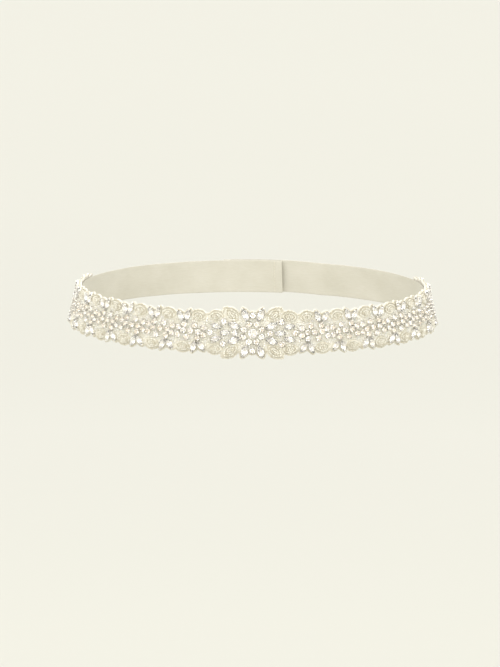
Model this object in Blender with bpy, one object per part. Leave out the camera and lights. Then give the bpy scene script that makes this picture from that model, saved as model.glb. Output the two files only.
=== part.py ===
"""Bridal sash: a beaded and jewelled applique sewn on a satin ribbon, closed at the back.

The sash is worn, so it keeps the hollow ring that it makes round a waist. The wearer's
waist is centred on the origin, +Z is up, and the centre front faces -Y. Every solid is laid
out flat first, in three numbers, and then wrapped on the waist by on_waist():
    along   distance from the centre front, measured round the waist, positive to +X
    up      height above the waist line
    out     distance outwards from the inside of the ribbon
All lengths are in metres.
"""

import math
from collections import namedtuple

import bmesh
import bpy
import numpy as np
from mathutils import Vector
from mathutils.geometry import delaunay_2d_cdt

# The waist that the sash goes round
WAIST_HALF_WIDTH = 0.125
WAIST_HALF_DEPTH = 0.098
SIDE_FLARE = 0.23  # how far the sides lean out for each metre down, over the hips
FRONT_FLARE = 0.10  # the same at the front and back

# Satin ribbon
RIBBON_WIDTH = 0.025
RIBBON_WALL = 0.001
RIBBON_STEP = 0.005
LAP_HALF = 0.022  # each end passes the centre back by this much
LAP_LEVEL = 0.002  # how far the upper end has levelled off before it meets the lower one
LAP_RISE = 0.028  # length over which it climbs

SEAM = 0.0003  # gap between pieces that touch

# Press studs that hold the lap, in two halves
STUD_HEIGHTS = (0.006, -0.006)
STUD_RADIUS = 0.004
STUD_HALF_HEIGHT = 0.0008
STUD_SIDES = 20
# Columns: share of the radius, share of the half's height from its ribbon
SOCKET_PROFILE = ((0.94, 0), (1, 0.4), (0.85, 1))
BALL_PROFILE = ((0.94, 0), (1, 0.4), (0.80, 1))
LAP_OUT = RIBBON_WALL + 2 * STUD_HALF_HEIGHT + 3 * SEAM  # the studs fit under the upper end

# Applique: one centre motif and four panels on each side, of two repeats each
BACKING_OUT = RIBBON_WALL + SEAM
BACKING_WALL = 0.0012
CENTRE_HALF = 0.031
REPEAT = 0.022
REPEATS_PER_PANEL = 2
PANELS_PER_SIDE = 4
EDGE_MARGIN = 0.0013  # the backing is cut this far outside the beads
GROUND_HALF_HEIGHT = 0.0128  # its least half height, just past the ribbon's edge
EDGE_STEP = 0.0016

# The raised forms. A leaf pad is filled with beads and has a ridge, a navette is a pointed
# crystal, and a chaton is a round one. Columns: length, width, height over the backing
FORM_SIZES = {
    "leaf_pad": (0.0116, 0.0068, 0.0021),
    "large_leaf_pad": (0.0130, 0.0074, 0.0023),
    "navette": (0.0080, 0.0040, 0.0032),
    "large_navette": (0.0090, 0.0046, 0.0034),
    "chaton": (0.0040, 0.0040, 0.0030),
    "centre_stone": (0.0062, 0.0062, 0.0040),
}
PADS = ("leaf_pad", "large_leaf_pad")
ROUND_STONES = ("chaton", "centre_stone")
PAD_SHOULDER = 0.72  # share of a pad's outline where its slope changes
PAD_SHOULDER_HEIGHT = 0.65  # share of its height there
PAD_RIDGE = 0.5  # length of its ridge as a share of its length
STONE_TABLE = 0.60  # share of a stone's outline that is at its full height
# Points along each side of a pointed form, or round a stone, at its edge and further in
PAD_POINTS = (5, 4)
NAVETTE_POINTS = (3, 2)
STONE_SIDES = 6
CUT_POINTS = 9  # the same for the finer outlines that the backing is cut round
CUT_STONE_SIDES = 16

# One repeat of the right-hand border. Every row has a twin, turned half a turn about the
# repeat's middle. Columns: kind, along, up, angle in degrees
REPEAT_FORMS = (
    ("leaf_pad", 0.0061, 0.0106, 8),
    ("navette", 0.0139, 0.0106, 108),
    ("navette", 0.0189, 0.0100, 52),
    ("chaton", 0.0158, 0.0044, 0),
    ("chaton", 0.0086, 0.0042, 0),
    ("chaton", 0.0022, 0.0029, 0),
    ("chaton", 0.0198, 0.0022, 0),
    ("chaton", 0.0058, -0.0002, 0),
)

# The centre motif is a flower: a ring of chatons round the centre stone, with a petal pointing
# outwards from each. Every row of the spray is mirrored to the left and down, every row of the
# middle line to the left, and every row of the upright line down. Columns as above
RING_CHATONS = 8
RING_RADIUS = 0.0065
PETAL_RADIUS = 0.0136
SPRAY_FORMS = (
    ("large_leaf_pad", 0.0146, 0.0124, 40),
    ("navette", 0.0246, 0.0044, 12),
    ("leaf_pad", 0.0250, 0.0110, -4),
    ("chaton", 0.0196, 0.0076, 0),
)
MIDDLE_LINE_FORMS = (
    ("chaton", 0.0117, 0, 0),
    ("navette", 0.0182, 0, 0),
    ("chaton", 0.0287, 0, 0),
)
UPRIGHT_LINE_FORMS = (
    ("chaton", 0, 0.0121, 0),
)

COLOURS = {
    # material name: (red, green, blue), roughness, metallic
    "ivory_satin": ((0.90, 0.87, 0.78), 0.40, 0.0),
    "beaded_net": ((0.86, 0.82, 0.70), 0.35, 0.0),
    "press_stud_metal": ((0.78, 0.78, 0.76), 0.25, 1.0),
}

Form = namedtuple("Form", "kind along up degrees")

TURN_SAMPLES = 4001
FLAT_SCALE = 1000  # the flat triangulation works in millimetres
MERGE_DISTANCE = 1e-4


def waist_table():
    """Angles round the waist and the distance from the centre front to each."""
    angle = np.linspace(-1.4 * math.pi, 1.4 * math.pi, TURN_SAMPLES)
    across = WAIST_HALF_WIDTH * np.sin(angle)
    deep = -WAIST_HALF_DEPTH * np.cos(angle)
    steps = np.hypot(np.diff(across), np.diff(deep))
    along = np.concatenate(([0.0], np.cumsum(steps)))
    return angle, along - np.interp(0.0, angle, along)


ANGLES, ALONGS = waist_table()
HALF_ROUND = float(np.interp(math.pi, ANGLES, ALONGS))


def on_waist(along, up, out):
    """The point of the wrapped sash for a point of the flat one."""
    angle = float(np.interp(along, ALONGS, ANGLES))
    across = WAIST_HALF_WIDTH - SIDE_FLARE * up + out
    deep = WAIST_HALF_DEPTH - FRONT_FLARE * up + out
    return Vector((across * math.sin(angle), -deep * math.cos(angle), up))


def material(name):
    """A Principled material in the colour listed for it."""
    made = bpy.data.materials.get(name)
    if made:
        return made
    made = bpy.data.materials.new(name)
    made.use_nodes = True
    colour, roughness, metallic = COLOURS[name]
    shader = made.node_tree.nodes["Principled BSDF"]
    shader.inputs["Base Color"].default_value = (*colour, 1)
    shader.inputs["Roughness"].default_value = roughness
    shader.inputs["Metallic"].default_value = metallic
    return made


def add_solid(name, points, faces, material_name, parent, smooth=False):
    """One closed mesh object, with its origin at the middle of its points."""
    middle = sum(points, Vector()) / len(points)
    mesh = bpy.data.meshes.new(name)
    mesh.from_pydata([point - middle for point in points], [], faces)
    work = bmesh.new()
    work.from_mesh(mesh)
    bmesh.ops.recalc_face_normals(work, faces=work.faces)
    work.to_mesh(mesh)
    work.free()
    mesh.materials.append(material(material_name))
    if smooth:
        mesh.shade_smooth()
        mesh.set_sharp_from_angle(angle=math.radians(35))
    made = bpy.data.objects.new(name, mesh)
    made.location = middle
    made.parent = parent
    bpy.context.scene.collection.objects.link(made)
    return made


def smooth_step(share):
    share = min(1.0, max(0.0, share))
    return share * share * (3 - 2 * share)


def ribbon_out(along):
    """Inside of the ribbon: on the waist, but climbing where it laps over its other end."""
    start = HALF_ROUND - LAP_HALF - LAP_LEVEL - LAP_RISE
    return LAP_OUT * smooth_step((along - start) / LAP_RISE)


def add_ribbon(parent):
    """One strip of satin ribbon, right round the waist, with lapped ends."""
    half_length = HALF_ROUND + LAP_HALF
    count = round(2 * half_length / RIBBON_STEP)
    points = []
    for station in range(count + 1):
        along = -half_length + 2 * half_length * station / count
        inside = ribbon_out(along)
        outside = inside + RIBBON_WALL
        low, high = -RIBBON_WIDTH / 2, RIBBON_WIDTH / 2
        for up, out in ((low, inside), (high, inside), (high, outside), (low, outside)):
            points.append(on_waist(along, up, out))
    faces = [(0, 1, 2, 3)]
    for station in range(count):
        first = 4 * station
        for corner in range(4):
            following = (corner + 1) % 4
            faces.append((first + corner, first + following, first + 4 + following, first + 4 + corner))
    last = 4 * count
    faces.append((last + 3, last + 2, last + 1, last))
    return add_solid("ribbon", points, faces, "ivory_satin", parent, smooth=True)


def leaf_outline(form, share, per_side):
    """Points round a pointed oval, shrunk to a share of its size, in the flat layout."""
    length, width, _ = FORM_SIZES[form.kind]
    turn = math.radians(form.degrees)
    points = []
    for side in (1, -1):
        for step in range(per_side + 1):
            lengthways = side * (1 - 2 * step / (per_side + 1))
            u = share * length / 2 * lengthways
            v = side * share * width / 2 * (1 - lengthways**2)
            points.append((form.along + u * math.cos(turn) - v * math.sin(turn),
                           form.up + u * math.sin(turn) + v * math.cos(turn)))
    return points


def round_outline(form, share, sides):
    radius = share * FORM_SIZES[form.kind][0] / 2
    corners = [2 * math.pi * (corner + 0.5) / sides for corner in range(sides)]
    return [(form.along + radius * math.cos(c), form.up + radius * math.sin(c)) for c in corners]


def cut_outline(form):
    """Outline of a form, fine enough to cut the backing round it."""
    if form.kind in ROUND_STONES:
        return round_outline(form, 1, CUT_STONE_SIDES)
    return leaf_outline(form, 1, CUT_POINTS)


def relief_rings(form):
    """Outline of a form and the ring inside it where its slope changes."""
    if form.kind in ROUND_STONES:
        return [round_outline(form, share, STONE_SIDES) for share in (1, STONE_TABLE)]
    if form.kind in PADS:
        shares, counts = (1, PAD_SHOULDER), PAD_POINTS
    else:
        shares, counts = (1, STONE_TABLE), NAVETTE_POINTS
    return [leaf_outline(form, share, count) for share, count in zip(shares, counts)]


def reach(form, along, up):
    """0 at a form's centre and 1 on its outline."""
    length, width, _ = FORM_SIZES[form.kind]
    beside, above = along - form.along, up - form.up
    if form.kind in ROUND_STONES:
        return math.hypot(beside, above) / (length / 2)
    turn = math.radians(form.degrees)
    lengthways = abs(beside * math.cos(turn) + above * math.sin(turn)) / (length / 2)
    crossways = abs(above * math.cos(turn) - beside * math.sin(turn)) / (width / 2)
    return (crossways + math.sqrt(crossways**2 + 4 * lengthways**2)) / 2


def rise(form, along, up):
    """Height of one form over the backing at a point of the flat layout."""
    height = FORM_SIZES[form.kind][2]
    if form.kind in PADS:
        shares = ((0, 1), (PAD_SHOULDER, PAD_SHOULDER_HEIGHT), (1, 0))
    else:
        shares = ((0, 1), (STONE_TABLE, 1), (1, 0))
    return height * float(np.interp(reach(form, along, up), *zip(*shares)))


def mirrored(form):
    return form._replace(along=-form.along, degrees=180 - form.degrees)


def upside_down(form):
    return form._replace(up=-form.up, degrees=-form.degrees)


def centre_motif():
    """The centre stone, its ring of chatons and petals, the middle lines and the four sprays."""
    forms = [Form("centre_stone", 0, 0, 0)]
    for spoke in range(RING_CHATONS):
        degrees = 360 * (spoke + 0.5) / RING_CHATONS
        turn = math.radians(degrees)
        for kind, radius in (("chaton", RING_RADIUS), ("large_navette", PETAL_RADIUS)):
            forms.append(Form(kind, radius * math.cos(turn), radius * math.sin(turn), degrees))
    for row in MIDDLE_LINE_FORMS:
        forms += [Form(*row), mirrored(Form(*row))]
    for row in UPRIGHT_LINE_FORMS:
        forms += [Form(*row), upside_down(Form(*row))]
    for row in SPRAY_FORMS:
        right = (Form(*row), upside_down(Form(*row)))
        forms += [*right, mirrored(right[0]), mirrored(right[1])]
    return forms


def repeat_motif(start):
    """The forms of one repeat of the right-hand border that begins at start."""
    forms = [Form("chaton", start + REPEAT / 2, 0, 0)]
    for kind, along, up, degrees in REPEAT_FORMS:
        forms.append(Form(kind, start + along, up, degrees))
        forms.append(Form(kind, start + REPEAT - along, -up, degrees))
    return forms


def panels():
    """Name, start, end and forms of every applique panel, from the centre outwards."""
    made = [("applique_centre", -CENTRE_HALF, CENTRE_HALF, centre_motif())]
    width = REPEAT * REPEATS_PER_PANEL
    for number in range(PANELS_PER_SIDE):
        start = CENTRE_HALF + number * width
        forms = []
        for repeat in range(REPEATS_PER_PANEL):
            forms += repeat_motif(start + repeat * REPEAT)
        made.append((f"applique_right_{number + 1}", start, start + width, forms))
        left = [mirrored(form) for form in forms]
        made.append((f"applique_left_{number + 1}", -start - width, -start, left))
    return made


def cut_edge(stations, forms, side):
    """Height of the backing's upper (side 1) or lower (side -1) cut edge at each station."""
    beads = np.array([point for form in forms for point in cut_outline(form)])
    away = stations[:, None] - beads[None, :, 0]
    arc = np.sqrt(np.maximum(EDGE_MARGIN**2 - away**2, 0))
    heights = np.where(np.abs(away) < EDGE_MARGIN, side * beads[None, :, 1] + arc, 0)
    return side * np.maximum(heights.max(axis=1), GROUND_HALF_HEIGHT)


def relief_triangles(edge, forms):
    """Flat points and triangles of a panel's outer face, with an edge along every form."""
    flat, lines = list(edge), []
    for form in forms:
        for ring in relief_rings(form):
            first = len(flat)
            flat += ring
            lines += [(first + i, first + (i + 1) % len(ring)) for i in range(len(ring))]
        if form.kind in PADS:
            lines.append((len(flat), len(flat) + 1))
            flat += leaf_outline(form, PAD_RIDGE, 0)
    scaled = [Vector((FLAT_SCALE * along, FLAT_SCALE * up)) for along, up in flat]
    only_inside_faces = 1
    points, _, triangles, *_ = delaunay_2d_cdt(
        scaled, lines, [list(range(len(edge)))], only_inside_faces, MERGE_DISTANCE)
    return [(p.x / FLAT_SCALE, p.y / FLAT_SCALE) for p in points], triangles


def add_panel(name, start, end, forms, all_forms, parent):
    """A piece of backing net with its beads: plain inside, with the beads raised outside."""
    count = round((end - start) / EDGE_STEP)
    stations = np.linspace(start + SEAM / 2, end - SEAM / 2, count + 1)
    low = list(zip(stations, cut_edge(stations, all_forms, -1)))
    high = list(zip(stations, cut_edge(stations, all_forms, 1)))
    edge = low + high[::-1]
    flat, triangles = relief_triangles(edge, forms)

    points = []
    for along, up in flat:
        raised = max(rise(form, along, up) for form in forms)
        points.append(on_waist(along, up, BACKING_OUT + BACKING_WALL + raised))
    faces = [tuple(triangle) for triangle in triangles]

    inside = len(points)
    points += [on_waist(along, up, BACKING_OUT) for along, up in edge]
    corners = len(edge)
    for i in range(count):
        across = corners - 1 - i
        faces.append((inside + i, inside + across, inside + across - 1, inside + i + 1))
    for i in range(corners):
        following = (i + 1) % corners
        faces.append((i, inside + i, inside + following, following))
    return add_solid(name, points, faces, "beaded_net", parent)


def add_stud_half(name, up, base, direction, profile, parent):
    """A round half of a press stud at the centre back, from its base inwards or outwards."""
    points = []
    for radius_share, height_share in profile:
        radius = radius_share * STUD_RADIUS
        out = base + direction * height_share * STUD_HALF_HEIGHT
        for side in range(STUD_SIDES):
            turn = 2 * math.pi * side / STUD_SIDES
            points.append(on_waist(HALF_ROUND + radius * math.cos(turn),
                                   up + radius * math.sin(turn), out))
    faces = [tuple(range(STUD_SIDES))[::-1]]
    for ring in range(len(profile) - 1):
        for side in range(STUD_SIDES):
            following = (side + 1) % STUD_SIDES
            first = ring * STUD_SIDES
            faces.append((first + side, first + following,
                          first + STUD_SIDES + following, first + STUD_SIDES + side))
    top = (len(profile) - 1) * STUD_SIDES
    faces.append(tuple(range(top, top + STUD_SIDES)))
    return add_solid(name, points, faces, "press_stud_metal", parent, smooth=True)


def add_press_studs(parent):
    """Press studs between the lapped ends, each a socket on the lower end and a ball half."""
    socket_base = RIBBON_WALL + SEAM
    ball_base = LAP_OUT - SEAM
    for number, up in enumerate(STUD_HEIGHTS, start=1):
        add_stud_half(f"press_stud_socket_{number}", up, socket_base, 1, SOCKET_PROFILE, parent)
        add_stud_half(f"press_stud_ball_{number}", up, ball_base, -1, BALL_PROFILE, parent)


def main():
    for old in list(bpy.data.objects):
        bpy.data.objects.remove(old, do_unlink=True)
    sash = bpy.data.objects.new("bridal_sash", None)
    bpy.context.scene.collection.objects.link(sash)
    add_ribbon(sash)
    add_press_studs(sash)
    made = panels()
    all_forms = [form for _, _, _, forms in made for form in forms]
    for name, start, end, forms in made:
        add_panel(name, start, end, forms, all_forms, sash)
    bpy.context.view_layer.update()


main()
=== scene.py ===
"""Looks of the bridal sash: satin ribbon, net backing, leaf pads of seed beads and crystals.

The pieces are laid out flat, as in the frame's own solids, and then wrapped on the waist:
    along   distance from the centre front, measured round the waist, positive to +X
    up      height above the waist line
    out     distance outwards from the inside of the ribbon
A small piece such as a stone or a bead has local points (u, v, w): u and v lie in the
surface, and w stands out of it. All lengths are in metres.
"""

import math
from collections import namedtuple

import bpy
import numpy as np
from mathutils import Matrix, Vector
from mathutils.kdtree import KDTree

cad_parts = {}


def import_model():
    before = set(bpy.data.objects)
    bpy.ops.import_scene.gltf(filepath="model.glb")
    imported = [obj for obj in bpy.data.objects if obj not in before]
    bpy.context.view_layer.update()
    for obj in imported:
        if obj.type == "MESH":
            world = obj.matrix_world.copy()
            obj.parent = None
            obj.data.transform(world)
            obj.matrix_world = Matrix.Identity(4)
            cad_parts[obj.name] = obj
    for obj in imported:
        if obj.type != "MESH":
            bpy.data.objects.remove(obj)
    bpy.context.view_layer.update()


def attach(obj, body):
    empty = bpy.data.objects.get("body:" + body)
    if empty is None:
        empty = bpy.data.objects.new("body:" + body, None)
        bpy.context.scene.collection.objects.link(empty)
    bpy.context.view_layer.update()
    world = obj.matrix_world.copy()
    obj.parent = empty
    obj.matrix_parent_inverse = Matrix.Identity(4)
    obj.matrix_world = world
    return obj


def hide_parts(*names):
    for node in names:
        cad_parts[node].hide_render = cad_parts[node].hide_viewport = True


# The waist and the layers on it, as the frame has them
WAIST_HALF_WIDTH = 0.125
WAIST_HALF_DEPTH = 0.098
SIDE_FLARE = 0.23
FRONT_FLARE = 0.10
RIBBON_WIDTH = 0.025
RIBBON_WALL = 0.001
SEAM = 0.0003
LAP_HALF = 0.022
LAP_LEVEL = 0.002
LAP_RISE = 0.028
STUD_HEIGHTS = (0.006, -0.006)
STUD_RADIUS = 0.004
STUD_HALF_HEIGHT = 0.0008
LAP_OUT = RIBBON_WALL + 2 * STUD_HALF_HEIGHT + 3 * SEAM
BACKING_OUT = RIBBON_WALL + SEAM
BACKING_WALL = 0.0012
FACE_OUT = BACKING_OUT + BACKING_WALL

# The applique's layout, as the frame has it
CENTRE_HALF = 0.031
REPEAT = 0.022
REPEATS_PER_SIDE = 8
EDGE_MARGIN = 0.0013
GROUND_HALF_HEIGHT = 0.0128

# Columns: length, width, height over the backing
FORM_SIZES = {
    "leaf_pad": (0.0116, 0.0068, 0.0021),
    "large_leaf_pad": (0.0130, 0.0074, 0.0023),
    "navette": (0.0080, 0.0040, 0.0032),
    "large_navette": (0.0090, 0.0046, 0.0034),
    "chaton": (0.0040, 0.0040, 0.0030),
    "centre_stone": (0.0062, 0.0062, 0.0040),
}
PADS = ("leaf_pad", "large_leaf_pad")
ROUND_STONES = ("chaton", "centre_stone")

# Columns: kind, along, up, angle in degrees. Each row of the repeat has a twin, turned half a
# turn about the repeat's middle
REPEAT_FORMS = (
    ("leaf_pad", 0.0061, 0.0106, 8),
    ("navette", 0.0139, 0.0106, 108),
    ("navette", 0.0189, 0.0100, 52),
    ("chaton", 0.0158, 0.0044, 0),
    ("chaton", 0.0086, 0.0042, 0),
    ("chaton", 0.0022, 0.0029, 0),
    ("chaton", 0.0198, 0.0022, 0),
    ("chaton", 0.0058, -0.0002, 0),
)
# The centre flower: a ring of chatons, with a petal pointing outwards from each. Each row of the
# spray is mirrored to the left and down, of the middle line to the left, and of the upright down
RING_CHATONS = 8
RING_RADIUS = 0.0065
PETAL_RADIUS = 0.0136
SPRAY_FORMS = (
    ("large_leaf_pad", 0.0146, 0.0124, 40),
    ("navette", 0.0246, 0.0044, 12),
    ("leaf_pad", 0.0250, 0.0110, -4),
    ("chaton", 0.0196, 0.0076, 0),
)
MIDDLE_LINE_FORMS = (
    ("chaton", 0.0117, 0, 0),
    ("navette", 0.0182, 0, 0),
    ("chaton", 0.0287, 0, 0),
)
UPRIGHT_LINE_FORMS = (
    ("chaton", 0, 0.0121, 0),
)

# Cut of the stones, as shares of their outline and of their height
STONE_SIDES = 16
TABLE_SHARE = 0.55
STAR_SHARE = 0.80
STAR_HEIGHT = 0.86
GIRDLE_HEIGHT = 0.58
CULET_HEIGHT = 0.10
# Columns: share of the stone's outline, share of its height
CUP_COURSE = ((0.90, 0), (1.07, 0.10), (1.07, 0.62), (1.0, GIRDLE_HEIGHT - 0.02), (0.12, 0.04))
STONE_TILT = 4.9  # degrees at most that a sewn stone leans
STONE_SPIN = 4  # degrees at most that it is turned askew
ROUND_SPIN = 45  # degrees over which the claws of a round one may start

# Rows of seed beads: their size and spacing, how far they lean (radians) and turn (degrees) at
# most, and their range of tints
Row = namedtuple("Row", "size spacing lean turn tints")
PAD_ROW = Row(0.00140, 0.00112, 0.2, 8, (0, 0.62))
# the edge row takes the darker tints: partly a darker bead colour, and partly painted shade that
# tones down the rim, which is lit from above
EDGE_ROW = Row(0.00118, 0.00108, 0.15, 10, (0, 0.3))
EDGE_INSET = 0.00046
PAD_SHARES = (0.80, 0.42)  # of a pad's outline, that its rows follow
RIDGE_SHORTER = 0.18  # share of the pad by which the ridge's row is shorter than the inner row
PAD_BASE = ((0, 0.0010), (0.72, 0.00045), (1, 0.0001))  # share of the outline, height
BEAD_LINE_POINTS = 60
BEAD_SPREAD = (0.94, 1.06)
BEAD_LIFT = 0.46  # height of a lying bead's middle, as a share of its size
BEAD_SIDES = 10
BEAD_PROFILE = 6
# Shares of a bead's size
BEAD_RING = 0.36
BEAD_HALF_WALL = 0.14
BEAD_HALF_LENGTH = 0.36

# Seed beads that fill the ground
GROUND_STEP = 0.00032
GROUND_REACH = 0.017
GROUND_SCATTER = 0.4
GROUND_LARGEST = 0.0019
GROUND_SMALLEST = 0.00112
GROUND_FILLER = 0.00118  # the largest that fills a gap afterwards
GROUND_CLOSENESS = 0.97  # share of two beads' radii that may lie between their middles
GROUND_LEAN = 0.25
GROUND_ON_END = 0.3
GROUND_LIFTS = (0.85, 1.15)
GROUND_TINTS = (0.4, 1)
STONE_CLEARANCE = 0.00008
STONE_ROOM = 1.05  # share of a form's outline that the beads stay out of

# Lines that the backing and its bead rows are cut to
CUT_LINE_POINTS = 40
EDGE_STEP = 0.0001

Form = namedtuple("Form", "kind along up degrees")
SEED = 7

WAIST_REACH = 1.4 * math.pi  # angle that the waist's table takes in, each side of the front
WAIST_STEPS = 4001


def waist_table():
    """Angles round the waist and the distance from the centre front to each."""
    angle = np.linspace(-WAIST_REACH, WAIST_REACH, WAIST_STEPS)
    across = WAIST_HALF_WIDTH * np.sin(angle)
    deep = -WAIST_HALF_DEPTH * np.cos(angle)
    steps = np.hypot(np.diff(across), np.diff(deep))
    along = np.concatenate(([0.0], np.cumsum(steps)))
    return angle, along - np.interp(0.0, angle, along)


ANGLES, ALONGS = waist_table()
HALF_ROUND = float(np.interp(math.pi, ANGLES, ALONGS))
RIBBON_HALF_LENGTH = HALF_ROUND + LAP_HALF
APPLIQUE_REACH = CENTRE_HALF + REPEATS_PER_SIDE * REPEAT


def on_waist(along, up, out):
    """Points of the wrapped sash for points of the flat one, as an array."""
    along, up, out = np.broadcast_arrays(along, up, out)
    angle = np.interp(along, ALONGS, ANGLES)
    across = WAIST_HALF_WIDTH - SIDE_FLARE * up + out
    deep = WAIST_HALF_DEPTH - FRONT_FLARE * up + out
    return np.stack([across * np.sin(angle), -deep * np.cos(angle), up], axis=-1)


def axes_at(along, up):
    """Unit vectors along, up and out of the surface at a place on the waist."""
    step = 1e-4
    ahead = on_waist(along + step, up, 0) - on_waist(along - step, up, 0)
    above = on_waist(along, up + step, 0) - on_waist(along, up - step, 0)
    ahead /= np.linalg.norm(ahead)
    out = np.cross(ahead, above)
    out /= np.linalg.norm(out)
    return ahead, np.cross(out, ahead), out


def turned(points, degrees):
    """Local points turned in the surface."""
    turn = math.radians(degrees)
    c, s = math.cos(turn), math.sin(turn)
    u, v, w = points.T
    return np.stack([u * c - v * s, u * s + v * c, w], axis=1)


def tilted(points, lean_u, lean_v):
    """Local points leant a little, in radians about u and v."""
    u, v, w = points.T
    return np.stack([u + w * lean_v, v - w * lean_u, w - u * lean_v + v * lean_u], axis=1)


def stood(points, along, up, out):
    """Local points of a rigid piece, stood on the waist."""
    ahead, above, outwards = axes_at(along, up)
    return on_waist(along, up, out) + points @ np.stack([ahead, above, outwards])


def wrapped(points, along, up, out):
    """Local points of a soft piece, bent round the waist."""
    return on_waist(along + points[:, 0], up + points[:, 1], out + points[:, 2])


class Pile:
    """Gathers many small solids, each with a tint from 0 to 1, into one mesh object."""

    def __init__(self):
        self.points, self.faces, self.tints, self.count = [], [], [], 0

    def add(self, points, faces, tint=0.5):
        self.points.append(points)
        self.faces += [tuple(corner + self.count for corner in face) for face in faces]
        self.tints.append(np.full(len(points), tint))
        self.count += len(points)

    def build(self, name, material, smooth_angle=None):
        mesh = bpy.data.meshes.new(name)
        mesh.from_pydata(np.concatenate(self.points).tolist(), [], self.faces)
        tint = mesh.attributes.new("tint", "FLOAT", "POINT")
        tint.data.foreach_set("value", np.concatenate(self.tints))
        mesh.materials.append(material)
        if smooth_angle is not None:
            mesh.shade_smooth()
            mesh.set_sharp_from_angle(angle=math.radians(smooth_angle))
        made = bpy.data.objects.new(name, mesh)
        bpy.context.scene.collection.objects.link(made)
        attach(made, "root")
        return made


def bands(rings, sides):
    """Quads between successive closed rings of a given number of points."""
    faces = []
    for ring in range(rings - 1):
        first = ring * sides
        for side in range(sides):
            following = (side + 1) % sides
            faces.append((first + side, first + following,
                          first + sides + following, first + sides + side))
    return faces


def tube(rings, sides):
    """Faces of a closed tube: the bands between its rings, and both its ends."""
    last = (rings - 1) * sides
    return bands(rings, sides) + [tuple(range(sides))[::-1], tuple(range(last, last + sides))]


def angles_round(count, shift=0.0):
    """Angles evenly spaced round a full turn, shifted by a share of their spacing."""
    return 2 * math.pi * (np.arange(count) + shift) / count


def faced(points, faces, direction):
    """A piece as it is, for direction 1, or turned over to face inwards, for direction -1."""
    if direction > 0:
        return points, faces
    return points * (1, 1, -1), [corners[::-1] for corners in faces]


def outline_points(kind, share, height, count, shift=0.0):
    """A ring of local points on a form's outline, shrunk to a share of it."""
    length, width, _ = FORM_SIZES[kind]
    turn = angles_round(count, shift)
    u = share * length / 2 * np.cos(turn)
    v = share * width / 2 * np.sin(turn)
    if kind not in ROUND_STONES:
        v = v * np.abs(np.sin(turn))
    return np.stack([u, v, np.full(count, height)], axis=1)


def stone_rings(kind):
    """Rings of a stone's cut, from its table down to its culet."""
    height = FORM_SIZES[kind][2]
    table = outline_points(kind, TABLE_SHARE, height, STONE_SIDES // 2)
    star = outline_points(kind, STAR_SHARE, STAR_HEIGHT * height, STONE_SIDES // 2, 0.5)
    girdle = outline_points(kind, 1, GIRDLE_HEIGHT * height, STONE_SIDES)
    culet = np.array([[0, 0, CULET_HEIGHT * height]])
    return table, star, girdle, culet


def crystal(kind):
    """Points and facets of a cut stone."""
    half = STONE_SIDES // 2
    points = np.concatenate(stone_rings(kind))
    star, girdle, culet = half, 2 * half, 4 * half
    faces = [tuple(range(half))]
    for i in range(half):
        following = (i + 1) % half
        before = star + (i - 1) % half
        edge = girdle + 2 * i
        after = girdle + (2 * i + 2) % STONE_SIDES
        faces.append((i, star + i, following))
        faces.append((i, before, edge, star + i))
        faces.append((star + i, edge, edge + 1))
        faces.append((star + i, edge + 1, after))
        faces.append((culet, edge + 1, edge))
        faces.append((culet, after, edge + 1))
    return points, faces


def cup(kind):
    """The metal cup under a stone: an outer wall, a rim, and a mirror cone below the stone."""
    height = FORM_SIZES[kind][2]
    rings = [outline_points(kind, share, level * height, STONE_SIDES)
             for share, level in CUP_COURSE]
    return np.concatenate(rings), tube(len(rings), STONE_SIDES)


PRONG_WIDTH = 0.00075
PRONG_THICKNESS = 0.00025
PRONG_SLANT = 0.4  # share of the thickness that counts along the way the prong runs
# Columns: share of the outline, share of the stone's height, share of the prong's width
PRONG_COURSE = ((1.10, 0.25, 1.0), (1.12, 0.66, 1.0), (1.00, 0.82, 0.9), (0.84, 0.93, 0.5))
CHATON_PRONGS = (45, 135, 225, 315)
NAVETTE_PRONGS = (0, 55, 125, 180, 235, 305)


def prong(kind, degrees):
    """One claw of a setting, from its wall up over the stone's edge."""
    length, width, height = FORM_SIZES[kind]
    turn = math.radians(degrees)
    c, s = math.cos(turn), math.sin(turn)
    spot = np.array([length / 2 * c, width / 2 * s * (1 if kind in ROUND_STONES else abs(s))])
    # the outward direction of a pointed oval lies nearer to v than the spot does
    outward = np.array([c / length, s / width]) if abs(s) > 1e-6 else np.array([c, 0])
    outward /= np.linalg.norm(outward)
    sideways = np.array([-outward[1], outward[0]])
    sections = []
    for share, level, taper in PRONG_COURSE:
        middle = spot + outward * (share - 1) * width / 2
        half = sideways * PRONG_WIDTH * taper / 2
        lift = PRONG_THICKNESS * (PRONG_SLANT if share > 1 else 1.0)
        push = outward * PRONG_THICKNESS * (1.0 if share > 1 else PRONG_SLANT)
        sections += [[*(middle - half), level * height],
                     [*(middle + half), level * height],
                     [*(middle + half + push), level * height + lift],
                     [*(middle - half + push), level * height + lift]]
    return np.array(sections), tube(len(PRONG_COURSE), 4)


def bead(size):
    """A seed bead, with its hole along u and its middle at the origin."""
    rings = []
    side = angles_round(BEAD_SIDES)
    for turn in angles_round(BEAD_PROFILE):
        radius = size * (BEAD_RING + BEAD_HALF_WALL * math.cos(turn))
        rings.append(np.stack([np.full(BEAD_SIDES, BEAD_HALF_LENGTH * size * math.sin(turn)),
                               radius * np.cos(side), radius * np.sin(side)], axis=1))
    faces = bands(BEAD_PROFILE, BEAD_SIDES)
    last = (BEAD_PROFILE - 1) * BEAD_SIDES
    for side in range(BEAD_SIDES):
        following = (side + 1) % BEAD_SIDES
        faces.append((last + side, last + following, following, side))
    return np.concatenate(rings), faces


def mirrored(form):
    """The form on the other side of the centre front."""
    return form._replace(along=-form.along, degrees=180 - form.degrees)


def upside_down(form):
    """The form on the other side of the waist line."""
    return form._replace(up=-form.up, degrees=-form.degrees)


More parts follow.
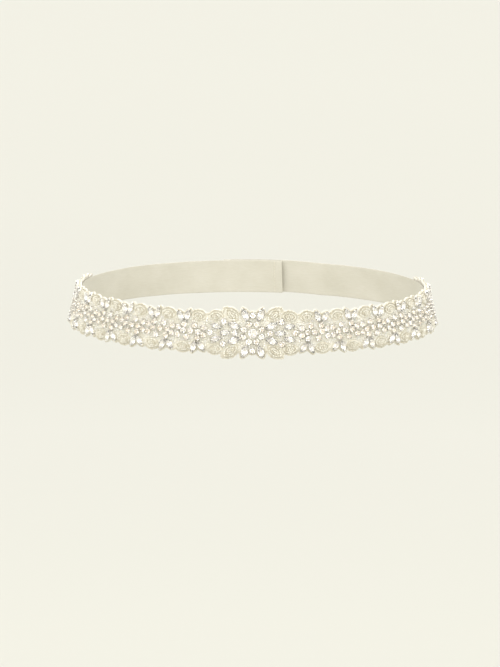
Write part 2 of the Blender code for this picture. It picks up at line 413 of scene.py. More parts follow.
def centre_forms():
    """The centre stone, its ring of chatons and petals, the middle lines and the four sprays."""
    forms = [Form("centre_stone", 0, 0, 0)]
    for spoke in range(RING_CHATONS):
        degrees = 360 * (spoke + 0.5) / RING_CHATONS
        turn = math.radians(degrees)
        for kind, radius in (("chaton", RING_RADIUS), ("large_navette", PETAL_RADIUS)):
            forms.append(Form(kind, radius * math.cos(turn), radius * math.sin(turn), degrees))
    for row in MIDDLE_LINE_FORMS:
        forms += [Form(*row), mirrored(Form(*row))]
    for row in UPRIGHT_LINE_FORMS:
        forms += [Form(*row), upside_down(Form(*row))]
    for row in SPRAY_FORMS:
        right = (Form(*row), upside_down(Form(*row)))
        forms += [*right, mirrored(right[0]), mirrored(right[1])]
    return forms


def right_forms():
    """The forms of the right-hand border, repeat by repeat."""
    forms = []
    for number in range(REPEATS_PER_SIDE):
        start = CENTRE_HALF + number * REPEAT
        forms.append(Form("chaton", start + REPEAT / 2, 0, 0))
        for kind, along, up, degrees in REPEAT_FORMS:
            forms.append(Form(kind, start + along, up, degrees))
            forms.append(Form(kind, start + REPEAT - along, -up, degrees))
    return forms


def flat_outline(form, share, count):
    """Flat points round a form, at a share of its size."""
    points = turned(outline_points(form.kind, share, 0, count), form.degrees)
    return points[:, :2] + (form.along, form.up)


def cut_edge(stations, outlines, side, inset=0.0):
    """Height of the backing's upper (side 1) or lower (side -1) cut edge at each station.

    An inset gives the line that lies that far inside the edge."""
    margin = EDGE_MARGIN - inset
    away = stations[:, None] - outlines[None, :, 0]
    arc = np.sqrt(np.maximum(margin**2 - away**2, 0))
    heights = np.where(np.abs(away) < margin, side * outlines[None, :, 1] + arc, 0)
    return side * np.maximum(heights.max(axis=1), GROUND_HALF_HEIGHT - inset)


def pad_height(share):
    """Height of a leaf pad's padding at a share of its outline."""
    shares, heights = zip(*PAD_BASE)
    return float(np.interp(share, shares, heights))


PAD_RINGS = (1, 0.86, 0.72, 0.45, 0.2)
PAD_SIDES = 28


def add_padding(pile, form):
    """The padded leaf under a pad's beads, flat below and ridged above."""
    rings = [outline_points(form.kind, share, pad_height(share), PAD_SIDES) for share in PAD_RINGS]
    bottom = outline_points(form.kind, 1, 0, PAD_SIDES)
    top = np.array([[0, 0, pad_height(0)]])
    points = turned(np.concatenate([bottom, *rings, top]), form.degrees)
    faces = bands(len(rings) + 1, PAD_SIDES)
    faces.append(tuple(range(PAD_SIDES))[::-1])
    last = len(rings) * PAD_SIDES
    for side in range(PAD_SIDES):
        faces.append((last + side, last + (side + 1) % PAD_SIDES, len(points) - 1))
    pile.add(wrapped(points, form.along, form.up, FACE_OUT), faces)


def spaced(line, spacing, closed):
    """Places about spacing apart along a line of flat points, with the direction at each."""
    if closed:
        line = np.concatenate([line, line[:1]])
    lengths = np.concatenate(([0.0], np.cumsum(np.linalg.norm(np.diff(line, axis=0), axis=1))))
    count = max(1, round(lengths[-1] / spacing))
    gap = lengths[-1] / count
    at = gap * (np.arange(count) + 0.5)
    places = np.stack([np.interp(at, lengths, line[:, axis]) for axis in (0, 1)], axis=1)
    ahead = np.stack([np.interp(at + gap / 4, lengths, line[:, axis]) for axis in (0, 1)], axis=1)
    step = ahead - places
    return zip(places, np.degrees(np.arctan2(step[:, 1], step[:, 0])))


def add_bead_row(pile, row, line, closed, height, chance):
    """Seed beads along a line of flat points, at a height over the backing."""
    for place, degrees in spaced(line, row.spacing, closed):
        size = row.size * chance.uniform(*BEAD_SPREAD)
        points, faces = bead(size)
        points = tilted(points, *chance.uniform(-row.lean, row.lean, 2))
        points = turned(points, degrees + chance.uniform(-row.turn, row.turn))
        out = FACE_OUT + height + BEAD_LIFT * size
        pile.add(stood(points, place[0], place[1], out), faces, chance.uniform(*row.tints))


def add_pad_beads(pile, form, chance):
    """Rows of seed beads round a leaf pad, and one along its ridge."""
    for share in PAD_SHARES:
        line = flat_outline(form, share, BEAD_LINE_POINTS)
        add_bead_row(pile, PAD_ROW, line, True, pad_height(share), chance)
    length = FORM_SIZES[form.kind][0]
    reach_of_ridge = length / 2 * (PAD_SHARES[-1] - RIDGE_SHORTER)
    turn = math.radians(form.degrees)
    along_ridge = np.array([math.cos(turn), math.sin(turn)]) * reach_of_ridge
    middle = np.array([form.along, form.up])
    ridge = np.stack([middle - along_ridge, middle + along_ridge])
    add_bead_row(pile, PAD_ROW, ridge, False, pad_height(0), chance)


def inside_form(form, flat):
    """Which flat points lie inside a form."""
    length, width, _ = FORM_SIZES[form.kind]
    turn = math.radians(form.degrees)
    beside, above = (flat - (form.along, form.up)).T
    lengthways = np.abs(beside * math.cos(turn) + above * math.sin(turn)) / (length / 2)
    crossways = np.abs(above * math.cos(turn) - beside * math.sin(turn)) / (width / 2)
    if form.kind in ROUND_STONES:
        return np.hypot(lengthways, crossways) < 1
    return crossways + lengthways**2 < 1


def nearest_distance(flat, targets):
    """Distance of each flat point from the nearest target."""
    tree = KDTree(len(targets))
    for index, (along, up) in enumerate(targets):
        tree.insert((along, up, 0), index)
    tree.balance()
    return np.array([tree.find((along, up, 0))[2] for along, up in flat])


def add_edge_beads(pile, forms, start, end, chance):
    """A row of small seed beads along both cut edges of the backing."""
    outlines = np.concatenate([flat_outline(form, 1, BEAD_LINE_POINTS) for form in forms])
    stations = np.arange(start, end, EDGE_STEP)
    for side in (-1, 1):
        edge = cut_edge(stations, outlines, side, EDGE_INSET)
        add_bead_row(pile, EDGE_ROW, np.stack([stations, edge], axis=1), False, 0, chance)


def ground_places(forms, start, end, chance):
    """Places and sizes of the beads that fill the ground between the forms."""
    outlines = np.concatenate([flat_outline(form, STONE_ROOM, CUT_LINE_POINTS) for form in forms])
    alongs = np.arange(start, end, GROUND_STEP)
    ups = np.arange(-GROUND_REACH, GROUND_REACH, GROUND_STEP)
    flat = np.stack(np.meshgrid(alongs, ups, indexing="ij"), axis=-1).reshape(-1, 2)
    flat = flat + chance.uniform(-GROUND_SCATTER, GROUND_SCATTER, flat.shape) * GROUND_STEP
    edge_row = EDGE_INSET + 0.5 * EDGE_ROW.size
    low, high = (np.interp(flat[:, 0], alongs, cut_edge(alongs, outlines, side, edge_row))
                 for side in (-1, 1))
    free = (flat[:, 1] > low) & (flat[:, 1] < high)
    for form in forms:
        free &= ~inside_form(form, flat)
    flat, low, high = flat[free], low[free], high[free]
    edge_room = np.minimum(high - flat[:, 1], flat[:, 1] - low)
    room = np.minimum(nearest_distance(flat, outlines) - STONE_CLEARANCE, edge_room)
    wide = room > GROUND_SMALLEST / 2
    flat, room = flat[wide], room[wide]
    kept = np.zeros((0, 3))
    for largest in (GROUND_LARGEST, GROUND_FILLER):
        for place, space in zip(flat, room):
            radius = min(chance.uniform(GROUND_SMALLEST, largest) / 2, space)
            away = np.hypot(kept[:, 0] - place[0], kept[:, 1] - place[1])
            if (away > GROUND_CLOSENESS * (kept[:, 2] + radius)).all():
                kept = np.concatenate([kept, [[*place, radius]]])
    return kept


def add_ground_beads(pile, places, chance):
    """Seed beads on the backing, most lying on their sides and some standing on end."""
    for along, up, radius in places:
        points, faces = bead(2 * radius)
        if chance.random() < GROUND_ON_END:
            points = points[:, [2, 1, 0]] * (1, 1, -1)
        points = tilted(points, *chance.uniform(-GROUND_LEAN, GROUND_LEAN, 2))
        points = turned(points, chance.uniform(0, 180))
        out = FACE_OUT + radius * chance.uniform(*GROUND_LIFTS)
        pile.add(stood(points, along, up, out), faces, chance.uniform(*GROUND_TINTS))


# Tints from 0 to 1: the pointed stones are clear, the round ones a pale champagne
NAVETTE_SHADES = (0, 0.35)
ROUND_SHADES = (0.3, 1)


def add_stone(crystals, settings, form, chance):
    """A crystal in its claw setting, sewn a little askew."""
    is_round = form.kind in ROUND_STONES
    lean = np.radians(chance.uniform(-STONE_TILT, STONE_TILT, 2))
    spin = chance.uniform(-STONE_SPIN, STONE_SPIN)
    if is_round:
        spin += chance.uniform(0, ROUND_SPIN)

    def place(points):
        return stood(turned(tilted(points, *lean), form.degrees + spin),
                     form.along, form.up, FACE_OUT)

    points, faces = crystal(form.kind)
    shades = ROUND_SHADES if is_round else NAVETTE_SHADES
    crystals.add(place(points), faces, chance.uniform(*shades))
    points, faces = cup(form.kind)
    settings.add(place(points), faces, chance.random())
    for degrees in CHATON_PRONGS if is_round else NAVETTE_PRONGS:
        points, faces = prong(form.kind, degrees)
        settings.add(place(points), faces, chance.random())


BACKING_STEP = 0.0008
BACKING_ROUNDING = 0.0003
BACKING_GAP = 0.00006  # between two backings whose edges are sewn together


def add_backing(name, forms, start, end, nodes, material):
    """Net backing, cut in scallops round the beads, as one thin shell."""
    outlines = np.concatenate([flat_outline(form, 1, CUT_LINE_POINTS) for form in forms])
    count = round((end - start) / BACKING_STEP)
    stations = np.linspace(start + BACKING_GAP / 2, end - BACKING_GAP / 2, count + 1)
    low, high = (cut_edge(stations, outlines, side) for side in (-1, 1))
    inner, outer, soft = BACKING_OUT, FACE_OUT, BACKING_ROUNDING
    # Columns: edge, how far inside it, out
    section = ((low, soft, inner), (low, 0, inner + soft), (low, 0, outer - soft),
               (low, soft, outer), (high, soft, outer), (high, 0, outer - soft),
               (high, 0, inner + soft), (high, soft, inner))
    rings = []
    for edge, inset, out in section:
        up = edge - inset * np.sign(edge)
        rings.append(on_waist(stations, up, out))
    points = np.stack(rings, axis=1).reshape(-1, 3)
    # tint 1 on the beaded face and 0 on the inside, which the net material darkens as painted
    # shade
    tints = np.tile([float(out > (inner + outer) / 2) for _, _, out in section], count + 1)
    pile = Pile()
    pile.add(points, tube(count + 1, len(section)), tints)
    made = pile.build(name, material, smooth_angle=50)
    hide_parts(*nodes)


RIBBON_STATIONS = 420
RIBBON_CLOTH = 0.0004
RIBBON_MIDDLE = 0.00055
HEM = 0.007
HEM_CLOTH = 0.0006
HEM_MIDDLE = 0.00045
HEM_EDGE = 0.0006  # length over which the cloth thickens to the hem
# Columns: share of the half width, half thickness as a share of the cloth's
RIBBON_FACE = ((-1.0, 0.55), (-0.985, 1.12), (-0.93, 1.12), (-0.90, 0.95), (-0.45, 1.0), (0, 1.0),
               (0.45, 1.0), (0.90, 0.95), (0.93, 1.12), (0.985, 1.12), (1.0, 0.55))
RIPPLE = 0.00045
RIPPLE_HELD = 0.08  # share of it where the applique holds the ribbon
RIPPLE_START = 0.205  # along, where the ribbon comes free
RIPPLE_RISE = 0.03
RIPPLE_FALL = 0.02
# Columns: waves round the waist, share of the ripple, lean of the wave over the ribbon's width
RIPPLES = ((11, 0.5, 0.9), (17, 0.35, -1.6), (29, 0.25, 2.2))


def smooth_step(share):
    """An even climb from 0 to 1, level at both its ends."""
    share = np.clip(share, 0, 1)
    return share * share * (3 - 2 * share)


def ribbon_out(along):
    """Inside of the ribbon: on the waist, but climbing where it laps over its other end."""
    start = HALF_ROUND - LAP_HALF - LAP_LEVEL - LAP_RISE
    return LAP_OUT * smooth_step((along - start) / LAP_RISE)


def ripple(along, across):
    """Small waves of the ribbon, held down where the applique is sewn to it."""
    free = smooth_step((np.abs(along) - RIPPLE_START) / RIPPLE_RISE)
    free = free * smooth_step((HALF_ROUND - LAP_HALF - np.abs(along)) / RIPPLE_FALL)
    turn = math.pi * along / HALF_ROUND
    waves = sum(share * np.sin(count * turn + lean * across) for count, share, lean in RIPPLES)
    return RIPPLE * waves * (RIPPLE_HELD + (1 - RIPPLE_HELD) * free)


def add_ribbon(material):
    """Satin ribbon, with thicker woven edges and its two cut ends turned under."""
    along = np.linspace(-RIBBON_HALF_LENGTH, RIBBON_HALF_LENGTH, RIBBON_STATIONS)
    hem = smooth_step((np.abs(along) - (RIBBON_HALF_LENGTH - HEM)) / HEM_EDGE)
    half = RIBBON_WIDTH / 2
    middle = RIBBON_MIDDLE + (HEM_MIDDLE - RIBBON_MIDDLE) * hem
    cloth = RIBBON_CLOTH + (HEM_CLOTH - RIBBON_CLOTH) * hem
    rings, laid = [], []
    for side, row in ((1, RIBBON_FACE), (-1, RIBBON_FACE[::-1])):
        for across, thick in row:
            out = ribbon_out(along) + middle + ripple(along, across * 2) + side * cloth * thick / 2
            rings.append(on_waist(along, across * half, out))
            laid.append(np.stack(np.broadcast_arrays(along, across * half, side * half), axis=-1))
    points = np.stack(rings, axis=1).reshape(-1, 3)
    pile = Pile()
    pile.add(points, tube(RIBBON_STATIONS, len(rings)))
    made = pile.build("ribbon_satin", material, smooth_angle=60)
    flat = made.data.attributes.new("flat", "FLOAT_VECTOR", "POINT")
    flat.data.foreach_set("vector", np.stack(laid, axis=1).ravel())
    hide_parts("ribbon")


STITCH_RADIUS = 0.00012
STITCH_SIDES = 5
# Columns: share of the stitch's length, share of its rise
STITCH_COURSE = ((-0.5, -0.6), (-0.42, 0.35), (-0.15, 0.9), (0.15, 0.9), (0.42, 0.35), (0.5, -0.6))
# Lengths and rises of the three kinds of stitch
HEM_STITCH = (0.0014, 0.00022)
CATCH_STITCH = (0.0012, 0.00018)
STUD_STITCH = (0.0016, 0.00022)
HEM_STITCH_REACH = 0.011
HEM_STITCH_PITCH = 0.0022
HEM_STITCH_TURN = 6  # degrees at most
HEM_STITCH_SHARE = 0.8  # of the hem, from the ribbon's end
CATCH_HEIGHT = 0.0098
CATCH_PITCH = 0.0065
CATCH_START = 0.003
CATCH_SCATTER = 0.0004
CATCH_TURN = 25


def stitch(length, rise):
    """A short thread that comes up, runs along u and goes down again."""
    rings = []
    side = angles_round(STITCH_SIDES)
    for share, lift in STITCH_COURSE:
        rings.append(np.stack([np.full(STITCH_SIDES, share * length),
                               STITCH_RADIUS * np.cos(side),
                               lift * rise + STITCH_RADIUS * np.sin(side)], axis=1))
    return np.concatenate(rings), tube(len(rings), STITCH_SIDES)


def add_stitches(material, chance):
    """Hems at both ends of the ribbon, and the stitches that hold the applique to it."""
    pile = Pile()
    ups = np.arange(-HEM_STITCH_REACH, HEM_STITCH_REACH + HEM_STITCH_PITCH / 2, HEM_STITCH_PITCH)
    for end in (-1, 1):
        along = end * (RIBBON_HALF_LENGTH - HEM * HEM_STITCH_SHARE)
        for up in ups:
            points, faces = stitch(*HEM_STITCH)
            points = turned(points, 90 + chance.uniform(-HEM_STITCH_TURN, HEM_STITCH_TURN))
            for direction in (1, -1):
                out = ribbon_out(along) + HEM_MIDDLE + direction * HEM_CLOTH / 2
                sewn, corners = faced(points, faces, direction)
                pile.add(wrapped(sewn, along, up, out), corners)
    inside = RIBBON_MIDDLE - RIBBON_CLOTH / 2
    for up in (-CATCH_HEIGHT, CATCH_HEIGHT):
        for along in np.arange(-APPLIQUE_REACH + CATCH_START, APPLIQUE_REACH, CATCH_PITCH):
            points, faces = faced(*stitch(*CATCH_STITCH), -1)
            points = turned(points, chance.uniform(-CATCH_TURN, CATCH_TURN))
            place = along + chance.uniform(-CATCH_SCATTER, CATCH_SCATTER)
            pile.add(wrapped(points, place, up, inside), faces)
    made = pile.build("stitches", material, smooth_angle=60)


STUD_SIDES = 32
# Columns: share of the radius, share of the half's height from its ribbon
SOCKET_PROFILE = ((0, 0.1), (0.97, 0.0), (1.0, 0.18), (0.94, 0.36), (0.62, 0.40), (0.52, 0.85),
                  (0.44, 1.0), (0.30, 1.0), (0.24, 0.75), (0.22, 0.35), (0, 0.30))
BALL_PROFILE = ((0, 0.1), (0.97, 0.0), (1.0, 0.18), (0.94, 0.36), (0.55, 0.38), (0.50, 0.60),
                (0.24, 0.68), (0.21, 0.92), (0.10, 1.0), (0, 1.0))
SEWING_HOLES = 4
SEWING_RADIUS = 0.00335
SEWING_LEVEL = 0.36  # of the flange's top, as a share of the half's height
SEWING_THREADS = (-0.0003, 0, 0.0003)  # sideways places of the threads in a hole


def turned_piece(profile):
    """A round piece turned about w, from a profile that begins and ends on the axis."""
    side = angles_round(STUD_SIDES)
    rings = []
    for share, level in profile[1:-1]:
        radius = share * STUD_RADIUS
        rings.append(np.stack([radius * np.cos(side), radius * np.sin(side),
                               np.full(STUD_SIDES, level * STUD_HALF_HEIGHT)], axis=1))
    ends = np.array([[0, 0, profile[0][1] * STUD_HALF_HEIGHT],
                     [0, 0, profile[-1][1] * STUD_HALF_HEIGHT]])
    points = np.concatenate([*rings, ends])
    faces = bands(len(rings), STUD_SIDES)
    first_end, last_end = len(points) - 2, len(points) - 1
    last = (len(rings) - 1) * STUD_SIDES
    for i in range(STUD_SIDES):
        following = (i + 1) % STUD_SIDES
        faces.append((following, i, first_end))
        faces.append((last + i, last + following, last_end))
    return points, faces


def add_press_studs(metal, sewing):
    """The halves of the press studs, each sewn on through the holes in its flange."""
    threads = Pile()
    halves = (("socket", SOCKET_PROFILE, RIBBON_WALL + SEAM, 1),
              ("ball", BALL_PROFILE, LAP_OUT - SEAM, -1))
    for half, profile, base, direction in halves:
        pile = Pile()
        for up in STUD_HEIGHTS:
            points, faces = faced(*turned_piece(profile), direction)
            pile.add(wrapped(points, HALF_ROUND, up, base), faces)
            for turn in angles_round(SEWING_HOLES, 0.5):
                for beside in SEWING_THREADS:
                    points, faces = stitch(*STUD_STITCH)
                    points = points + (SEWING_RADIUS, beside, SEWING_LEVEL * STUD_HALF_HEIGHT)
                    points = turned(points, math.degrees(turn))
                    points, faces = faced(points, faces, direction)
                    threads.add(wrapped(points, HALF_ROUND, up, base), faces)
        made = pile.build(f"press_stud_{half}s", metal, smooth_angle=40)
        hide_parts(f"press_stud_{half}_1", f"press_stud_{half}_2")
    made = threads.build("press_stud_threads", sewing, smooth_angle=60)


def add_applique(side, forms, start, end, nodes, materials, chance):
    """One stretch of the applique: backing, pads, beads and stones."""
    add_backing(f"backing_{side}", forms, start, end, nodes, materials["net"])
    padding, pad_beads, edge_beads, ground_beads = Pile(), Pile(), Pile(), Pile()
    crystals, settings = Pile(), Pile()
    for form in forms:
        if form.kind in PADS:
            add_padding(padding, form)
            add_pad_beads(pad_beads, form, chance)
        else:
            add_stone(crystals, settings, form, chance)
    add_edge_beads(edge_beads, forms, start, end, chance)
    add_ground_beads(ground_beads, ground_places(forms, start, end, chance), chance)
    built = (
        padding.build(f"leaf_padding_{side}", materials["padding"], smooth_angle=60),
        pad_beads.build(f"leaf_beads_{side}", materials["bead"], smooth_angle=80),
        edge_beads.build(f"edge_beads_{side}", materials["bead"], smooth_angle=80),
        ground_beads.build(f"ground_beads_{side}", materials["bead"], smooth_angle=80),
        crystals.build(f"crystals_{side}", materials["crystal"]),
        settings.build(f"settings_{side}", materials["setting"], smooth_angle=35),
    )


class Nodes:
    """The node tree of a material or a world, with short ways to add and join nodes."""

    def __init__(self, owner, shader):
        owner.use_nodes = True
        self.owner = owner
        self.tree = owner.node_tree
        self.shader = self.tree.nodes[shader]

    def add(self, kind, **values):
        """A new node with some of its inputs or settings; _ stands for a space in an input."""
        node = self.tree.nodes.new(kind)
        for name, value in values.items():
            socket = name.replace("_", " ")
            if socket in node.inputs:
                node.inputs[socket].default_value = value
            else:
                setattr(node, name, value)
        return node

    def join(self, source, output, target, socket):
        self.tree.links.new(source.outputs[output], target.inputs[socket])

    def set(self, **values):
        for name, value in values.items():
            self.shader.inputs[name.replace("_", " ")].default_value = value

    def place(self, scale=(1, 1, 1), attribute=None):
        """Object coordinates, or those in an attribute, stretched by a scale."""
        mapping = self.add("ShaderNodeMapping", Scale=scale)
        if attribute:
            where = self.add("ShaderNodeAttribute", attribute_name=attribute)
            self.join(where, "Vector", mapping, "Vector")
        else:
            self.join(self.add("ShaderNodeTexCoord"), "Object", mapping, "Vector")
        return mapping

    def noise(self, place, scale, detail=3):
        texture = self.add("ShaderNodeTexNoise", Scale=scale, Detail=detail)
        self.join(place, "Vector", texture, "Vector")
        return texture

    def ramp(self, source, output, stops):
        """Colours at stops along a value."""
        ramp = self.add("ShaderNodeValToRGB")
        elements = ramp.color_ramp.elements
        while len(elements) < len(stops):
            elements.new(0.5)
        for element, (at, colour) in zip(elements, stops):
            element.position = at
            element.color = (*colour, 1)
        self.join(source, output, ramp, "Fac")
        return ramp

    def multiplied(self, first, second):
        """Two ramps' colours multiplied; the product is the output Result."""
        product = self.add("ShaderNodeMix", data_type="RGBA", blend_type="MULTIPLY", Factor=1)
        self.join(first, "Color", product, "A")
        self.join(second, "Color", product, "B")
        return product

    def paint(self, source, output="Color"):
        self.join(source, output, self.shader, "Base Color")

    def roughness(self, source, output, low, high):
        spread = self.add("ShaderNodeMapRange", To_Min=low, To_Max=high)
        self.join(source, output, spread, "Value")
        self.join(spread, "Result", self.shader, "Roughness")

    def bump(self, source, output, strength, distance):
        bump = self.add("ShaderNodeBump", Strength=strength, Distance=distance)
        self.join(source, output, bump, "Height")
        self.join(bump, "Normal", self.shader, "Normal")


def new_material(name):
    return Nodes(bpy.data.materials.new(name), "Principled BSDF")


def satin():
    """Ivory satin: long floats along the ribbon, a soft sheen and faint shading."""
    nodes = new_material("satin")
    nodes.set(Sheen_Weight=0.15, Sheen_Roughness=0.35, Specular_IOR_Level=0.85, Anisotropic=0.6)
    shade = nodes.noise(nodes.place(), 40)
    colours = nodes.ramp(shade, "Fac", ((0.3, (0.58, 0.555, 0.47)), (0.7, (0.64, 0.615, 0.535))))
    floats = nodes.noise(nodes.place((0.09, 1, 1), "flat"), 3000, 2)
    threads = nodes.ramp(floats, "Fac", ((0.35, (0.955, 0.948, 0.93)), (0.6, (1, 1, 1))))
    nodes.paint(nodes.multiplied(colours, threads), "Result")
    nodes.roughness(floats, "Fac", 0.24, 0.42)
    nodes.bump(floats, "Fac", 0.4, 0.0001)
    return nodes.owner


def net():
    """Ivory net over a soft backing, with painted shade on its inside, where the tint is 0."""
    nodes = new_material("net")
    nodes.set(Sheen_Weight=0.06)
    cells = nodes.add("ShaderNodeTexVoronoi", feature="DISTANCE_TO_EDGE", Scale=1100)
    nodes.join(nodes.place(), "Vector", cells, "Vector")
    colours = nodes.ramp(cells, "Distance", (
        (0.05, (0.90, 0.875, 0.79)), (0.3, (0.85, 0.81, 0.71))))
    side = nodes.add("ShaderNodeAttribute", attribute_name="tint")
    # painted shade: the inside of the same net is darker than its beaded face
    painted_inside_shade = nodes.ramp(side, "Fac", ((0, (0.73, 0.72, 0.70)), (1, (1, 1, 1))))
    nodes.paint(nodes.multiplied(colours, painted_inside_shade), "Result")
    nodes.roughness(nodes.noise(nodes.place(), 300), "Fac", 0.7, 0.9)
    nodes.bump(cells, "Distance", -0.5, 0.0002)
    return nodes.owner


def padding_cloth():
    """Cream thread that covers the padding of the leaves."""
    nodes = new_material("padding_thread")
    nodes.set(Sheen_Weight=0.3)
    strands = nodes.noise(nodes.place((1, 1, 0.2)), 1800, 2)
    colours = nodes.ramp(strands, "Fac", ((0.3, (0.68, 0.63, 0.50)), (0.7, (0.77, 0.73, 0.61))))
    nodes.paint(colours)
    nodes.roughness(strands, "Fac", 0.45, 0.7)
    nodes.bump(strands, "Fac", 0.5, 0.0002)
    return nodes.owner


def bead_glass():
    """Pearly ivory seed beads, no two quite alike."""
    nodes = new_material("bead_glass")
    nodes.set(Coat_Weight=0.6, Coat_Roughness=0.05, Specular_IOR_Level=0.6)
    tint = nodes.add("ShaderNodeAttribute", attribute_name="tint")
    colours = nodes.ramp(tint, "Fac", (
        (0.0, (0.64, 0.59, 0.46)), (0.3, (0.80, 0.765, 0.655)), (0.62, (0.92, 0.895, 0.80)),
        (0.82, (0.95, 0.94, 0.90)), (1.0, (0.90, 0.87, 0.79))))
    nodes.paint(colours)
    nodes.roughness(nodes.noise(nodes.place(), 900), "Fac", 0.12, 0.28)
    return nodes.owner


def crystal_glass():
    """Cut crystal, clear at a tint of 0 and pale champagne at 1."""
    nodes = new_material("crystal_glass")
    nodes.set(Transmission_Weight=0.90, IOR=1.45, Roughness=0.02)
    tint = nodes.add("ShaderNodeAttribute", attribute_name="tint")
    colours = nodes.ramp(tint, "Fac", (
        (0.0, (1.0, 0.995, 0.985)), (0.35, (1.0, 0.98, 0.95)),
        (0.45, (0.97, 0.94, 0.895)), (1.0, (0.94, 0.89, 0.815))))
    nodes.paint(colours)
    return nodes.owner


def silver():
    """Bright silver plate of the settings, a little worn."""
    nodes = new_material("silver_plate")
    nodes.set(Metallic=0.9)
    wear = nodes.noise(nodes.place(), 700)
    colours = nodes.ramp(wear, "Fac", ((0.3, (0.95, 0.93, 0.88)), (0.7, (0.985, 0.97, 0.94))))
    nodes.paint(colours)
    nodes.roughness(wear, "Fac", 0.18, 0.34)
    return nodes.owner


def stud_metal():
    """Nickel plate of the press studs."""
    nodes = new_material("nickel_plate")
    nodes.set(Metallic=1.0)
    wear = nodes.noise(nodes.place((1, 1, 4)), 900)
    colours = nodes.ramp(wear, "Fac", ((0.3, (0.62, 0.61, 0.58)), (0.7, (0.80, 0.79, 0.76))))
    nodes.paint(colours)
    nodes.roughness(wear, "Fac", 0.18, 0.34)
    nodes.bump(wear, "Fac", 0.2, 0.00005)
    return nodes.owner


def thread():
    """Ivory sewing thread."""
    nodes = new_material("sewing_thread")
    twist = nodes.noise(nodes.place(), 5000, 1)
    colours = nodes.ramp(twist, "Fac", ((0.3, (0.74, 0.69, 0.56)), (0.7, (0.88, 0.84, 0.73))))
    nodes.paint(colours)
    nodes.roughness(twist, "Fac", 0.5, 0.7)
    nodes.bump(twist, "Fac", 0.5, 0.0001)
    return nodes.owner


# Columns: name, azimuth round the sash from the front, elevation, distance, size, watts
LIGHTS = (
    ("front", -8, 26, 2.6, 3.2, 17),
    ("key", -48, 48, 2.4, 1.2, 8),
    ("fill", 55, 30, 2.4, 1.2, 6),
    ("back_left", -140, 30, 2.4, 1.2, 9),
    ("back_right", 145, 35, 2.4, 1.2, 8),
    ("spark_left", -20, 35, 2.4, 0.22, 2.8),
    ("spark_right", 28, 50, 2.4, 0.22, 2.8),
    ("spark_top", 5, 75, 2.4, 0.22, 2.4),
    ("spark_back", 170, 45, 2.4, 0.22, 2.8),
)


def aimed(name, data, aim, azimuth, elevation, distance):
    """A lamp or camera at a distance from a point, turned to face it; angles in degrees."""
    a, e = math.radians(azimuth), math.radians(elevation)
    toward = Vector((math.sin(a) * math.cos(e), -math.cos(a) * math.cos(e), math.sin(e)))
    made = bpy.data.objects.new(name, data)
    made.location = Vector(aim) + toward * distance
    made.rotation_euler = toward.to_track_quat("Z", "Y").to_euler()
    bpy.context.scene.collection.objects.link(made)
    return made


def add_lights():
    """Soft lamps all round, and small ones that make the stones sparkle."""
    for name, azimuth, elevation, distance, size, watts in LIGHTS:
        light = bpy.data.lights.new(name, "AREA")
        light.shape = "DISK"
        light.size = size
        light.energy = watts
        aimed(name, light, (0, 0, 0), azimuth, elevation, distance)


FLOOR_HEIGHT = -1.0
FLOOR_HALF = 60
FLOOR_PAINTED_FADE = 9  # metres over which its painted shade fades: darker near the sash, and lighter far off, where less lamplight reaches it


def add_floor():
    """Pale floor, at the height that a worn sash is over it, with painted shade: darker under and
    near the sash, and lighter far off to make up for the lamplight.
    """
    corners = [(-1, -1), (1, -1), (1, 1), (-1, 1)]
    mesh = bpy.data.meshes.new("floor")
    mesh.from_pydata([(x * FLOOR_HALF, y * FLOOR_HALF, FLOOR_HEIGHT) for x, y in corners],
                     [], [(0, 1, 2, 3)])
    nodes = new_material("floor")
    away = nodes.add("ShaderNodeTexGradient", gradient_type="SPHERICAL")
    nodes.join(nodes.place((1 / FLOOR_PAINTED_FADE, 1 / FLOOR_PAINTED_FADE, 0)), "Vector", away, "Vector")
    # painted shade and light: darkest under the sash, and lighter far off, where less lamplight
    # reaches
    colours = nodes.ramp(away, "Fac", (
        (0.0, (0.81, 0.805, 0.75)), (0.31, (0.80, 0.795, 0.74)), (0.61, (0.765, 0.76, 0.71)),
        (0.75, (0.69, 0.685, 0.63)), (0.93, (0.55, 0.545, 0.505))))
    nodes.paint(colours)
    nodes.set(Roughness=0.9)
    mesh.materials.append(nodes.owner)
    made = bpy.data.objects.new("floor", mesh)
    bpy.context.scene.collection.objects.link(made)


WORLD_PATCHES = ((0.34, (0.58, 0.575, 0.545)), (0.43, (1.0, 0.99, 0.94)))
WORLD_SEEN = (0.632, 0.623, 0.583, 1)  # where the camera looks past the floor
HORIZON_STRENGTH = 1.46
ZENITH_STRENGTH = 0.88
HORIZON_TOP = 0.2  # height in a unit dome up to which the horizon's strength holds


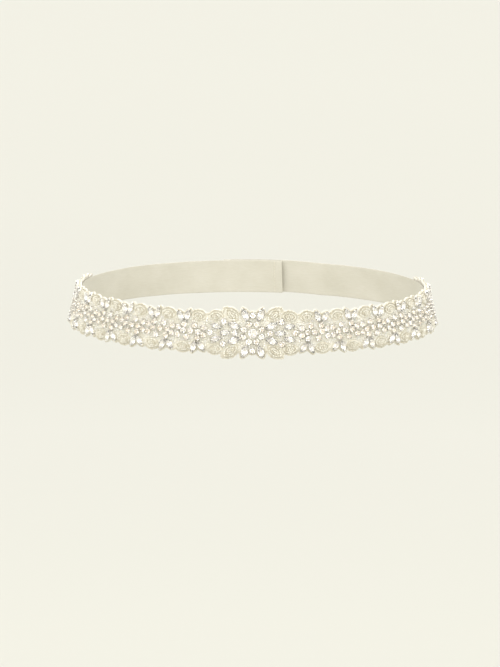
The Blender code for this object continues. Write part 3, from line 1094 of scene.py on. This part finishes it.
def add_world():
    """Soft bright surroundings, dimmer overhead, with darker patches that the stones pick up."""
    nodes = Nodes(bpy.data.worlds.new("studio"), "Background")
    where = nodes.add("ShaderNodeTexCoord")
    patches = nodes.add("ShaderNodeTexNoise", Scale=2.2, Detail=1.0)
    nodes.join(where, "Generated", patches, "Vector")
    around = nodes.ramp(patches, "Fac", WORLD_PATCHES)
    seen = nodes.add("ShaderNodeLightPath")
    mix = nodes.add("ShaderNodeMix", data_type="RGBA", B=WORLD_SEEN)
    nodes.join(seen, "Is Camera Ray", mix, "Factor")
    nodes.join(around, "Color", mix, "A")
    nodes.join(mix, "Result", nodes.shader, "Color")
    height = nodes.add("ShaderNodeSeparateXYZ")
    nodes.join(where, "Generated", height, "Vector")
    strength = nodes.add("ShaderNodeMapRange", From_Min=HORIZON_TOP, To_Min=HORIZON_STRENGTH,
                         To_Max=ZENITH_STRENGTH)
    nodes.join(height, "Z", strength, "Value")
    nodes.join(strength, "Result", nodes.shader, "Strength")
    bpy.context.scene.world = nodes.owner


CAMERA_DISTANCE = 2.0
CAMERA_ELEVATION = 12.5
CAMERA_AIM = (-0.0018, 0.0, -0.0226)
CAMERA_ROLL = 0.6
FRAME_HEIGHT = 0.4820  # metres that the frame's height takes in at the waist's middle
SENSOR = 36


def add_camera():
    """Camera in front of the sash and a little above it."""
    data = bpy.data.cameras.new("camera")
    data.sensor_width = SENSOR
    data.lens = SENSOR * CAMERA_DISTANCE / FRAME_HEIGHT
    made = aimed("camera", data, CAMERA_AIM, 0, CAMERA_ELEVATION, CAMERA_DISTANCE)
    made.rotation_euler.rotate_axis("Z", math.radians(CAMERA_ROLL))
    bpy.context.scene.camera = made


def main():
    """Dresses the frame's solids."""
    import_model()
    add_camera()
    chance = np.random.default_rng(SEED)
    materials = {"net": net(), "padding": padding_cloth(), "bead": bead_glass(),
                 "crystal": crystal_glass(), "setting": silver()}
    sewing = thread()
    add_ribbon(satin())
    add_stitches(sewing, chance)
    add_press_studs(stud_metal(), sewing)
    right = right_forms()
    left = [mirrored(form) for form in right]
    panel_numbers = range(1, REPEATS_PER_SIDE // 2 + 1)
    add_applique("centre", centre_forms(), -CENTRE_HALF, CENTRE_HALF, ["applique_centre"],
                 materials, chance)
    add_applique("right", right, CENTRE_HALF, APPLIQUE_REACH,
                 [f"applique_right_{number}" for number in panel_numbers], materials, chance)
    add_applique("left", left, -APPLIQUE_REACH, -CENTRE_HALF,
                 [f"applique_left_{number}" for number in panel_numbers], materials, chance)
    add_floor()
    add_world()
    add_lights()
    bpy.context.scene.view_settings.view_transform = "Standard"


main()
